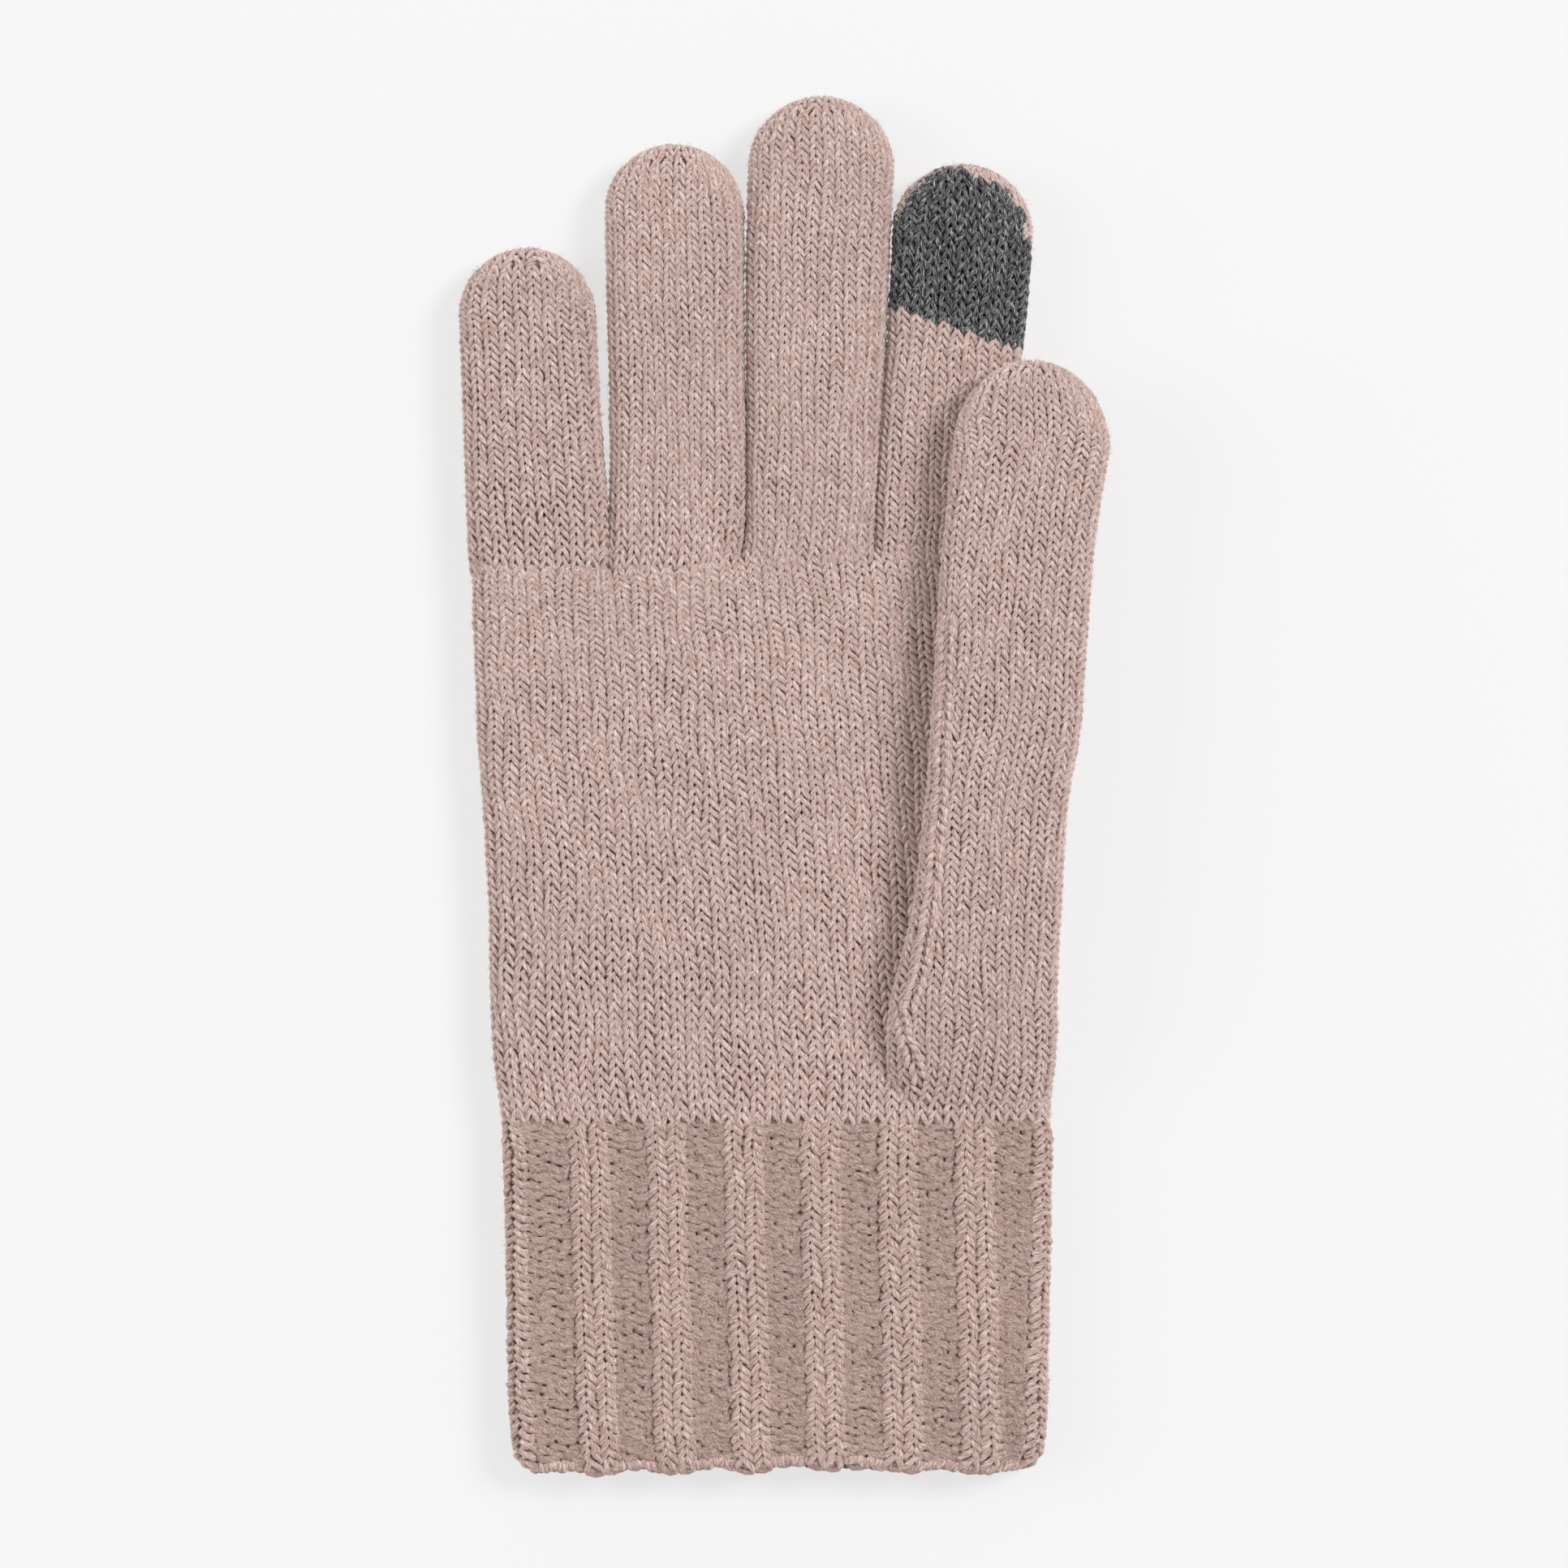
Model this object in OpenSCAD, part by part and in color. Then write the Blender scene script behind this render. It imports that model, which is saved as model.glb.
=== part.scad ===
// Knitted right-hand glove with a conductive index fingertip, laid on its back.
// Seamless tubes: a rib cuff, a two-stage palm, four fingers and a thumb that
// lies folded over the palm. Each tube is divided where the hand inside bends.
// Millimetres. +X to the thumb side, +Y to the fingertips, +Z out of the palm.
// Origin: middle of the footprint, on the surface the glove lies on.

/* [Hand] */
// Length from the middle fingertip to the cuff's edge
glove_len = 250; // [240:1:262]
// Width across the little finger's edge and the thumb's edge
glove_w = 118; // [116:0.5:124]
// Laid-flat thickness of the cuff, palm and finger tubes
body_t = 9.4; // [9:0.1:10.4]
// Thickness of the knitted wall
wall = 1.6; // [1.2:0.1:1.9]

/* [Cuff and palm] */
// Length of the rib cuff
cuff_len = 64.6; // [54:0.2:70]
// Laid-flat width of the rib cuff
cuff_w = 98; // [92:0.5:100]
// Length of the palm stage that carries the thumb
palm_lower_len = 39.8; // [38:0.2:42]
// Laid-flat width of the stage that carries the thumb
palm_lower_w = 102.6; // [100:0.2:104]
// Length of the palm stage above it, up to the finger roots
palm_upper_len = 61.6; // [58:0.2:64]
// Laid-flat width of the upper palm stage
palm_upper_w = 102.4; // [100:0.2:104]
// Depth of the raised ribs on the cuff
rib_h = 0.5; // [0.3:0.1:0.7]
// Pitch of the ribs
rib_pitch = 14.1; // [13:0.1:16]

/* [Fingers] */
// Laid-flat width of the little finger tube
little_w = 26.2; // [25:0.1:26.4]
// Laid-flat width of the ring finger tube
ring_w = 24.4; // [23.4:0.1:24.6]
// Laid-flat width of the middle finger tube
middle_w = 25.4; // [24.4:0.1:25.6]
// Laid-flat width of the index finger tube
index_w = 25.2; // [24.2:0.1:25.4]
// How far the little fingertip stays below the middle one
little_drop = 27.5; // [24:0.5:31]
// How far the ring fingertip stays below the middle one
ring_drop = 9.3; // [6:0.1:12]
// How far the index fingertip stays below the middle one
index_drop = 12.9; // [9:0.1:15]

/* [Thumb] */
// Laid-flat width of the thumb tube
thumb_w = 28.4; // [27:0.1:29]
// Laid-flat thickness of the thumb tube
thumb_t = 8.5; // [8:0.1:9.5]
// Length of the thumb tube from its pivot on the palm to its tip
thumb_len = 118.6; // [114:0.2:120]
// Lean of the thumb away from the fingers' direction, in degrees
thumb_lean = 5; // [4:0.5:5]
// Half width of the way from the palm into the thumb
thumb_way_r = 8; // [6.5:0.1:8.5]

/* [Hidden] */
$fn = 48;

rose = [0.741, 0.643, 0.616];
rose_cuff = [0.698, 0.596, 0.565];
charcoal = [0.345, 0.345, 0.349];

gap = 0.3;       // between tubes that turn against each other
layer_gap = 0.3; // between the palm and the thumb that lies on it
eps = 0.01;

top_y = glove_len / 2;
cuff_y = -glove_len / 2 + cuff_len;        // the cuff's upper edge
stage_y = cuff_y + palm_lower_len;         // where the thumb stage ends
root_y = stage_y + palm_upper_len;         // where the fingers start

// Centre lines of the tubes across the hand
cuff_x = -1;
palm_lower_x = -2.5;
palm_upper_x = -5.4;
little_x = -glove_w / 2 + little_w / 2;
ring_x = -20.1;
middle_x = 5.3;
index_x = 31.1;

// Each finger: centre, width, tip, end fold, middle fold
little = [little_x, little_w, top_y - little_drop, 25, 17];
ring = [ring_x, ring_w, top_y - ring_drop, 27, 24];
middle = [middle_x, middle_w, top_y, 28, 27];
index = [index_x, index_w, top_y - index_drop, 29, 22];

// Thumb: pivot on the palm, and stations along its own length
thumb_z = body_t + layer_gap;
thumb_r = thumb_w / 2;
thumb_px = glove_w / 2 - thumb_r - (thumb_len - thumb_r) * sin(thumb_lean);
thumb_py = stage_y - 21.4;
thumb_s = [18, thumb_len - 65, thumb_len - 31];

// A flat-laid tube's outline, standing on y = 0
module stadium(w, t) {
  translate([0, t / 2]) {
    square([w - t, t], center = true);
    for (s = [-1, 1]) translate([s * (w - t) / 2, 0]) circle(d = t);
  }
}

module tube_ring(w, t) {
  difference() {
    stadium(w, t);
    translate([0, wall]) stadium(w - 2 * wall, t - 2 * wall);
  }
}

// A length of tube from y0 to y1, open at both ends
module tube(w, t, y0, y1) {
  translate([0, y1, 0]) rotate([90, 0, 0])
    linear_extrude(y1 - y0) tube_ring(w, t);
}

// A closed, half-round end of a tube, with its middle at the origin
module round_end(w, t) {
  rotate_extrude(angle = 180)
    intersection() {
      tube_ring(w, t);
      square([w, 2 * t]);
    }
}

// The end of a finger: a short tube and its round end
module tip(w, t, y0, y1) {
  tube(w, t, y0, y1 - w / 2);
  translate([0, y1 - w / 2, 0]) round_end(w, t);
}

function end_fold(f) = f[2] - f[3];
function mid_fold(f) = f[2] - f[3] - f[4];

module finger_base(f)
  translate([f[0], 0, 0]) tube(f[1], body_t, root_y + gap / 2, mid_fold(f) - gap / 2);
module finger_mid(f)
  translate([f[0], 0, 0]) tube(f[1], body_t, mid_fold(f) + gap / 2, end_fold(f) - gap / 2);
module finger_tip(f)
  translate([f[0], 0, 0]) tip(f[1], body_t, end_fold(f) + gap / 2, f[2]);

module cuff_rib() color(rose_cuff)
  translate([cuff_x, 0, 0]) {
    difference() {
      tube(cuff_w, body_t, -glove_len / 2, cuff_y - gap / 2);
      // the recessed channels between the raised ribs, front and back
      for (i = [-3 : 3], z = [0, body_t])
        translate([i * rib_pitch - rib_pitch * 0.24, -glove_len / 2 - 1, z - (z > 0 ? rib_h : 1)])
          cube([rib_pitch * 0.48, cuff_len + 2, rib_h + (z > 0 ? 1 : 1 - rib_h)]);
    }
  }

module palm_lower() color(rose)
  difference() {
    translate([palm_lower_x, 0, 0])
      tube(palm_lower_w, body_t, cuff_y + gap / 2, stage_y);
    // the way through the front wall into the thumb
    translate([thumb_px, thumb_py, body_t / 2])
      cylinder(r = thumb_way_r, h = body_t, $fn = 12);
  }

module palm_upper() color(rose)
  translate([palm_upper_x, 0, 0])
    tube(palm_upper_w, body_t, stage_y, root_y - gap / 2);

module little_base() color(rose) finger_base(little);
module little_mid() color(rose) finger_mid(little);
module little_tip() color(rose) finger_tip(little);

module ring_base() color(rose) finger_base(ring);
module ring_mid() color(rose) finger_mid(ring);
module ring_tip() color(rose) finger_tip(ring);

module middle_base() color(rose) finger_base(middle);
module middle_mid() color(rose) finger_mid(middle);
module middle_tip() color(rose) finger_tip(middle);

module index_base() color(rose) finger_base(index);
module index_mid() color(rose) finger_mid(index);
// The index fingertip's back is plain yarn and its front is conductive yarn
module index_tip_back() color(rose)
  difference() {
    finger_tip(index);
    translate([index_x - index_w, end_fold(index) - 5, body_t / 2])
      cube([2 * index_w, 60, body_t]);
  }
module index_touch_pad() color(charcoal)
  difference() {
    finger_tip(index);
    translate([index_x - index_w, end_fold(index) - 5, -body_t / 2])
      cube([2 * index_w, 60, body_t]);
  }

// Places a piece drawn along the thumb's own length
module on_thumb()
  translate([thumb_px, thumb_py, thumb_z]) rotate([0, 0, -thumb_lean]) children();

module thumb_root() color(rose)
  on_thumb() difference() {
    union() {
      tube(thumb_w, thumb_t, 0, thumb_s[0] - gap / 2);
      rotate([0, 0, 180]) round_end(thumb_w, thumb_t);
    }
    translate([0, 0, -1]) cylinder(r = thumb_way_r, h = 1 + wall + eps, $fn = 12);
  }
module thumb_base() color(rose)
  on_thumb() tube(thumb_w, thumb_t, thumb_s[0] + gap / 2, thumb_s[1] - gap / 2);
module thumb_mid() color(rose)
  on_thumb() tube(thumb_w, thumb_t, thumb_s[1] + gap / 2, thumb_s[2] - gap / 2);
module thumb_tip() color(rose)
  on_thumb() tip(thumb_w, thumb_t, thumb_s[2] + gap / 2, thumb_len);

cuff_rib();
palm_lower();
palm_upper();
little_base();
little_mid();
little_tip();
ring_base();
ring_mid();
ring_tip();
middle_base();
middle_mid();
middle_tip();
index_base();
index_mid();
index_tip_back();
index_touch_pad();
thumb_root();
thumb_base();
thumb_mid();
thumb_tip();
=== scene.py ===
import math
import bpy
import numpy as np
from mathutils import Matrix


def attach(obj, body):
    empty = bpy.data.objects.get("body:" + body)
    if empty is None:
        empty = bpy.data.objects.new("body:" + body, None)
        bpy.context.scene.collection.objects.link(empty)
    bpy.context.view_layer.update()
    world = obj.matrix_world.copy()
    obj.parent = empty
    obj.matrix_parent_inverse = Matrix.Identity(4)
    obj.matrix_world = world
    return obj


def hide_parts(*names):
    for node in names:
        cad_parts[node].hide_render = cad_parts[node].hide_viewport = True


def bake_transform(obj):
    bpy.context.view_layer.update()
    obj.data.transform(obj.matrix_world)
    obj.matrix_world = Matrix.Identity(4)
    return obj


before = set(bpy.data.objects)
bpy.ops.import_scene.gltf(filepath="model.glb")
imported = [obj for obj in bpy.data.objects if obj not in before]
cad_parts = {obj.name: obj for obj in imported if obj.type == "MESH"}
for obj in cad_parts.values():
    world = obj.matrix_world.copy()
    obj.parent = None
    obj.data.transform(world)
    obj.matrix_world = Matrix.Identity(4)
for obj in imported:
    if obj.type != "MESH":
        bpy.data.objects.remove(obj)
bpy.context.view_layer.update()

# The glove is knitted here loop by loop. Each tube of the hand is a smooth
# closed surface, and each course is one yarn that runs round it in stitches.
# Lengths in this file are millimetres until a mesh is made.
rng = np.random.default_rng(20)
QH = 150          # samples across the front of a ring, and across its back
NS = 12           # points of yarn in one stitch
NC = 7            # sides of the yarn

scene = bpy.context.scene
scene.view_settings.view_transform = "Standard"


# ---------------------------------------------------------------- surfaces
def table(points, smooth=3.0):
    """A smooth curve through (y, value) pairs, as a function of y."""
    pts = sorted(points)
    ys = np.array([p[0] for p in pts], float)
    vs = np.array([p[1] for p in pts], float)
    g = np.arange(ys[0] - 20, ys[-1] + 20, 0.5)
    v = np.interp(g, ys, vs)
    k = np.arange(-12, 13) * 0.5
    w = np.exp(-(k / smooth) ** 2)
    w /= w.sum()
    v = np.convolve(np.pad(v, 12, mode="edge"), w, mode="valid")
    return lambda y: np.interp(y, g, v)


def bulge(d, r):
    t = np.clip(d / r, 0, 1)
    return np.sqrt(np.clip(1 - (1 - t) ** 2, 0, 1))


class Surface:
    """Closed rings, one every half course, from course -2 to course m + 1."""

    def __init__(self, m, ring):
        self.m, self.step, self.j0 = m, 0.5, -2.0
        rows = int((m + 3) / self.step) + 1
        self.P = np.zeros((rows, 2 * QH, 3))
        self.L = np.zeros((rows, 2))
        self.X = []
        for i in range(rows):
            front, back = ring(self.j0 + i * self.step)
            both = []
            for n, path in enumerate((front, back)):
                s = np.r_[0, np.cumsum(np.linalg.norm(np.diff(path, axis=0), axis=1))]
                self.L[i, n] = max(s[-1], 1e-3)
                u = np.linspace(0, s[-1], QH + 1)[:-1]
                both.append(np.stack([np.interp(u, s, path[:, k]) for k in range(3)], 1))
                if n == 0:
                    xf = (path[:, 0], s / self.L[i, 0] * 0.5)
                else:
                    xb = (path[::-1, 0], 0.5 + s[::-1] / self.L[i, 1] * 0.5)
            self.P[i] = np.vstack(both)
            self.X.append((xf, xb))
        a = np.roll(self.P, -1, 1) - np.roll(self.P, 1, 1)
        b = np.gradient(self.P, axis=0)
        n = np.cross(a, b)
        n /= np.maximum(np.linalg.norm(n, axis=2, keepdims=True), 1e-9)
        # a soft average keeps the stitches apart round the sharp edges
        n = n + 0.9 * (np.roll(n, 1, 1) + np.roll(n, -1, 1)) + 0.6 * (np.roll(n, 2, 1) + np.roll(n, -2, 1)) + 0.3 * (np.roll(n, 3, 1) + np.roll(n, -3, 1))
        self.N = n / np.maximum(np.linalg.norm(n, axis=2, keepdims=True), 1e-9)

    def row(self, j):
        return int(np.clip(round((j - self.j0) / self.step), 0, len(self.P) - 1))

    def at(self, j, q):
        r = np.clip((j - self.j0) / self.step, 0, len(self.P) - 1.001)
        i = np.floor(r).astype(int)
        f = (r - i)[..., None]
        c = (q % 1.0) * 2 * QH
        k = np.floor(c).astype(int)
        g = (c - k)[..., None]
        k0, k1 = k % (2 * QH), (k + 1) % (2 * QH)
        out = []
        for A in (self.P, self.N):
            out.append(
                (A[i, k0] * (1 - g) + A[i, k1] * g) * (1 - f)
                + (A[i + 1, k0] * (1 - g) + A[i + 1, k1] * g) * f
            )
        n = out[1]
        return out[0], n / np.maximum(np.linalg.norm(n, axis=-1, keepdims=True), 1e-9)

    def q_of_x(self, j, x, back=False):
        xs, qs = self.X[self.row(j)][1 if back else 0]
        return np.interp(x, xs, qs)


def ring_paths(xl, xr, yfun, top, bottom, n=181):
    t = np.linspace(0, math.pi, n)
    x = (xl + xr) / 2 - (xr - xl) / 2 * np.cos(t)
    y = yfun(x)
    front = np.stack([x, y, top(x, y)], 1)
    back = np.stack([x, y, bottom(x, y)], 1)[::-1]
    return front, back


INSET = 0.85      # from the outline to the middle of the yarn
ZC = 4.72         # mid-height of the hand
HM = 3.55         # half the distance between the two layers


def finger_surface(centre, half, tip, cap, y0, pitch, zc=None, hm=HM, edge=6.0, lean=0.0, root=None):
    """Returns the surface of a finger, the height of each course and where its round end starts."""
    zc = zc or (lambda y: ZC + 0 * y)
    end = tip - INSET
    capi = cap - INSET
    yc = end - capi
    ai = lambda y: half(np.minimum(y, yc)) - INSET

    def D(x, y):
        a = ai(y)
        over = np.maximum(y - yc, 0) * (a / capi)
        return a - np.hypot(x - centre(y), over)

    # courses are evenly spaced along the middle column's real length
    g = np.linspace(y0 - 4, end - 1e-4, 3000)
    z = hm * bulge(D(centre(g), g), edge)
    s = np.r_[0, np.cumsum(np.hypot(np.diff(g), np.diff(z)))]
    s -= np.interp(y0, g, s)
    m = int((s[-1] - 0.3) / pitch)
    pitch = (s[-1] - 0.35) / m

    def y_of(j):
        return np.interp(j * pitch, s, g)

    def ring(j):
        # courses bow towards the tip, and the last one lies along the round end
        y = float(y_of(j))
        t = float(np.clip((y - yc + 0.35 * capi) / (1.35 * capi), 0, 1))
        drop = 0.36 * capi * t * t * (3 - 2 * t)
        ye = y - drop
        a = float(ai(ye))
        if ye > yc:
            a *= math.sqrt(max(1 - ((ye - yc) / capi) ** 2, 0.0004))
        c = float(centre(y))
        fade = 0.0 if root is None else float(np.clip(1 - (j + 1) / 10.0, 0, 1)) ** 1.5
        yfun = lambda x: y - drop * ((x - c) / a) ** 2 - math.tan(math.radians(lean)) * (x - c) * (1 - t) + (fade * root(x) if fade else 0)
        hh = lambda x, yy: hm * bulge(D(x, yy), edge)
        return ring_paths(
            c - a, c + a, yfun,
            lambda x, yy: zc(yy) + hh(x, yy), lambda x, yy: zc(yy) - hh(x, yy),
        )

    surf = Surface(m, ring)
    surf.y_of, surf.pitch, surf.yc, surf.centre, surf.D = y_of, pitch, yc, centre, D
    surf.jc = float(np.interp(yc - 0.35 * capi, [y_of(v) for v in range(m + 1)], range(m + 1)))
    return surf


# ---------------------------------------------------------------- stitches
def layout_even(n):
    """Stitch centres and stitch boundaries of a plain course, at the course below, itself and the one above."""
    return np.stack([(np.arange(n) + 0.5) / n] * 3), np.stack([np.arange(n + 1) / n] * 3)


def layout_cap(surf, j, nh, edge_n=3):
    """A course on a round end: the outer wales follow the outline and the inner ones stay straight until they meet them."""
    w = surf.wale
    L = float(surf.L[surf.row(j), 0])
    n = nh - 2 * max(int(round((nh - L / w) / 2)), 0)
    n = max(n, 2 - nh % 2)
    e = min(edge_n, n // 2)
    b = np.r_[np.arange(e + 1) * w, np.linspace(e * w, L - e * w, n - 2 * e + 1)[1:-1], L - np.arange(e + 1)[::-1] * w]
    if n == 2 * e:
        b = np.linspace(0, L, n + 1)
    rows = []
    for jj in (j - 1, j, j + 1):
        Lj = float(surf.L[surf.row(jj), 0])
        if n > 2 * e and Lj > 2 * e * w * 1.15:
            bj = np.interp(b, [0, e * w, L - e * w, L], [0, e * w, Lj - e * w, Lj])
        else:
            bj = b * Lj / L
        f = bj / Lj * 0.5
        rows.append(np.r_[f, 0.5 + f[1:]])
    B = np.stack(rows)
    return (B[:, 1:] + B[:, :-1]) / 2, B


def layout_gusset(surf, j, w, edge_n=3):
    """Wales keep their width and run straight from the right-hand edge. New ones start at the left-hand fold."""
    L = float(surf.L[surf.row(j), 0])
    n = int(round(L / w))
    rows = []
    for jj in (j - 1, j, j + 1):
        Lj = float(surf.L[surf.row(jj), 0])
        b = Lj - (n - np.arange(n + 1)) * w
        b[:edge_n + 1] = b[edge_n] * np.arange(edge_n + 1) / edge_n
        f = b / Lj * 0.5
        rows.append(np.r_[f, 1 - f[:-1][::-1]])
    B = np.stack(rows)
    return (B[:, 1:] + B[:, :-1]) / 2, B


class Waves:
    """Slow, seamless unevenness over a tube, like hand-pulled fabric."""

    def __init__(self, n, size, count=18):
        self.k = rng.integers(1, max(n // 4, 3), count)
        self.w = rng.normal(0, 0.32, count)
        self.p = rng.uniform(0, 2 * math.pi, count)
        self.a = rng.uniform(0.5, 1, count)
        self.a *= size / math.sqrt((self.a ** 2).sum() / 2)

    def __call__(self, q, j):
        out = 0
        for k, w, p, a in zip(self.k, self.w, self.p, self.a):
            out = out + a * np.sin(2 * math.pi * k * q + w * j + p)
        return out


def course(surf, j, cen, bnd, h, a, d, r, skew=0.1, purl=None, lift=None, wob=None, rough=1.0, z_off=0.0):
    """One course: the yarn's path with its normals, depth, radius and stitch numbers."""
    n = cen.shape[1]
    t = np.arange(NS) / NS
    s = 2 * math.pi * (t - 0.5)
    jit = lambda sd: rng.normal(0, sd * rough, (n, 1))
    a_l, a_r = a * (1 + jit(0.12)), a * (1 + jit(0.12))
    aj = np.where(s[None] < 0, a_l, a_r)
    v = -(h / surf.pitch) * np.cos(s)[None] * (1 + jit(0.06)) + jit(0.05) * np.sin(math.pi * t)[None]
    lo, hi = np.clip(-v, 0, 1), np.clip(v, 0, 1)

    def mix(A):  # A is (3, n): at the course below, this one and the one above
        return A[1][:, None] + lo * (A[0] - A[1])[:, None] + hi * (A[2] - A[1])[:, None]

    C, B0, B1 = mix(cen), mix(bnd[:, :-1]), mix(bnd[:, 1:])
    tt = t[None]
    mid = np.sin(math.pi * t)[None] ** 0.5
    C = C + jit(0.05) * (B1 - B0)
    q = np.where(tt < 0.5, B0 + (C - B0) * 2 * tt, C + (B1 - C) * (2 * tt - 1))
    # Legs lean together at the top. The right leg lies flatter than the left.
    q = q + aj * np.sin(2 * s)[None] * (B1 - B0)
    q = q - (skew * (1 + jit(0.5))) * v * (B1 - B0) * mid
    shape = -np.cos(2 * np.abs(s) - 0.3)[None] * np.ones((n, 1))
    depth = d * shape
    if purl is not None:
        depth = np.where(purl[:, None], -depth, depth)
    if wob is not None:
        q = q + wob[0](q, j + v) * (B1 - B0)
        v = v + wob[1](q, j)
    P, N = surf.at(j + v, q)
    off = depth + z_off + jit(0.05) * mid
    if lift is not None:
        off = off + lift(q, j + v)
    P = P + N * off[..., None]
    # shade is the yarn's depth in the fabric, scaled; the material turns low values into painted shade
    P, N, shade = P.reshape(-1, 3), N.reshape(-1, 3), (depth / max(d, 1e-6)).reshape(-1)
    knots = np.arange(0, len(P) + 5, 5)
    rad = r * (1 + 0.07 * np.interp(np.arange(len(P)), knots, rng.normal(0, 1, len(knots))))
    return dict(P=P, N=N, depth=shade, r=np.clip(rad, 0.8 * r, 1.2 * r), stitch=np.repeat(np.arange(n), NS), j=j)


def sweep(c, flat=1.0, nc=None):
    """The yarn's skin round a closed path: corners, quads, uv and depth, the value from which the material paints
    shade.
    """
    nc = nc or NC
    P, N, r = c["P"], c["N"], c["r"]
    n = len(P)
    T = np.roll(P, -1, 0) - np.roll(P, 1, 0)
    T /= np.maximum(np.linalg.norm(T, axis=1, keepdims=True), 1e-9)
    B = np.cross(T, N)
    B /= np.maximum(np.linalg.norm(B, axis=1, keepdims=True), 1e-9)
    M = np.cross(B, T)
    step = np.linalg.norm(np.roll(P, -1, 0) - P, axis=1)
    u = np.r_[0, np.cumsum(step)[:-1]]
    ang = 2 * math.pi * np.arange(nc) / nc
    V = (P[:, None] + (r[:, None] * np.cos(ang)[None])[..., None] * B[:, None]
         + (r[:, None] * flat * np.sin(ang)[None])[..., None] * M[:, None])
    # painted shade: the depth value falls on the side of each yarn that faces into the fabric, so the material darkens
    # that side
    depth = c["depth"][:, None] * 0.55 + np.sin(ang)[None] * 0.45
    i = np.arange(n)[:, None]
    k = np.arange(nc)[None]
    i1, k1 = (i + 1) % n, (k + 1) % nc
    F = np.stack([i * nc + k, i1 * nc + k, i1 * nc + k1, i * nc + k1], -1).reshape(-1, 4)
    seed = rng.uniform(0, 500)
    ua, ub = u[:, None] + seed, (u + step)[:, None] + seed
    va, vb = k / nc, (k + 1) / nc
    one = np.ones((n, nc))
    UV = np.stack([
        np.stack([ua * one, va * one], -1), np.stack([ub * one, va * one], -1),
        np.stack([ub * one, vb * one], -1), np.stack([ua * one, vb * one], -1)], 2).reshape(-1, 4, 2)
    face_stitch = np.repeat(c["stitch"], nc)
    return V.reshape(-1, 3), F, UV, depth.reshape(-1), face_stitch


def strand(P, N, r, flat=1.0, depth=1.0, nc=NC):
    """A short length of yarn with tucked-in ends."""
    T = np.gradient(P, axis=0)
    T /= np.maximum(np.linalg.norm(T, axis=1, keepdims=True), 1e-9)
    B = np.cross(T, N)
    B /= np.maximum(np.linalg.norm(B, axis=1, keepdims=True), 1e-9)
    M = np.cross(B, T)
    ang = 2 * math.pi * np.arange(nc) / nc
    V = P[:, None] + (r[:, None] * np.cos(ang))[..., None] * B[:, None] + (r[:, None] * flat * np.sin(ang))[..., None] * M[:, None]
    # painted shade: the depth value falls on the side of each yarn that faces into the fabric, so the material darkens
    # that side
    D = depth * 0.55 + np.sin(ang)[None] * 0.45 + 0 * r[:, None]
    n = len(P)
    i, k = np.arange(n - 1)[:, None], np.arange(nc)[None]
    k1 = (k + 1) % nc
    F = np.stack([i * nc + k, (i + 1) * nc + k, (i + 1) * nc + k1, i * nc + k1], -1).reshape(-1, 4)
    u = np.r_[0, np.cumsum(np.linalg.norm(np.diff(P, axis=0), axis=1))] + rng.uniform(0, 500)
    one = np.ones((n - 1, nc))
    ua, ub, va, vb = u[:-1, None] * one, u[1:, None] * one, k / nc * one, (k + 1) / nc * one
    UV = np.stack([np.stack([ua, va], -1), np.stack([ub, va], -1), np.stack([ub, vb], -1), np.stack([ua, vb], -1)], 2).reshape(-1, 4, 2)
    return V.reshape(-1, 3), F, UV, D.reshape(-1)


def chain(path, height, pitch=1.7, wide=0.95, r=0.56):
    """A column of large stitches that lies on the fabric along a path in plan, from its top to its lower end."""
    path = np.array(path, float)
    s = np.r_[0, np.cumsum(np.linalg.norm(np.diff(path, axis=0), axis=1))]
    out = []
    for k in range(int(s[-1] / pitch)):
        at = lambda u: np.array([np.interp(u, s, path[:, 0]), np.interp(u, s, path[:, 1])])
        c = at((k + 0.5) * pitch)
        t = at(k * pitch) - at((k + 1) * pitch)
        t /= np.linalg.norm(t)
        n = np.array([t[1], -t[0]])
        for side in (-1, 1):
            w = wide * rng.normal(1, 0.07)
            m = np.linspace(-1, 1, 9)
            lean = 0.62 * w * (1 + rng.normal(0, 0.15))
            xy = c[None] + np.outer(side * (w - lean * m), n) + np.outer(1.3 * m + rng.normal(0, 0.08), t)
            z = height(xy[:, 0], xy[:, 1]) + 0.92 - 1.25 * np.abs(m) ** 2
            rr = r * (1 - 0.5 * np.abs(m) ** 3) * rng.normal(1, 0.06)
            out.append(strand(np.c_[xy, z], np.tile([0, 0, 1.0], (9, 1)), rr))
    return out


def closing(surf):
    """The yarn that is drawn through the last loops and closes a tip."""
    row = surf.P[surf.row(surf.m)]
    f, b = row[:QH], row[QH:][::-1]
    k = np.arange(3, QH - 2, 4)
    half = np.linalg.norm(f - b, axis=1)[k] / 2
    rad = np.clip(half + 0.12, 0.36, 1.0) * np.minimum(1, 0.4 + 0.2 * np.minimum(np.arange(len(k)), np.arange(len(k))[::-1]))
    return strand((f[k] + b[k]) / 2, np.tile([0, 0, 1.0], (len(k), 1)), rad)


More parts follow.
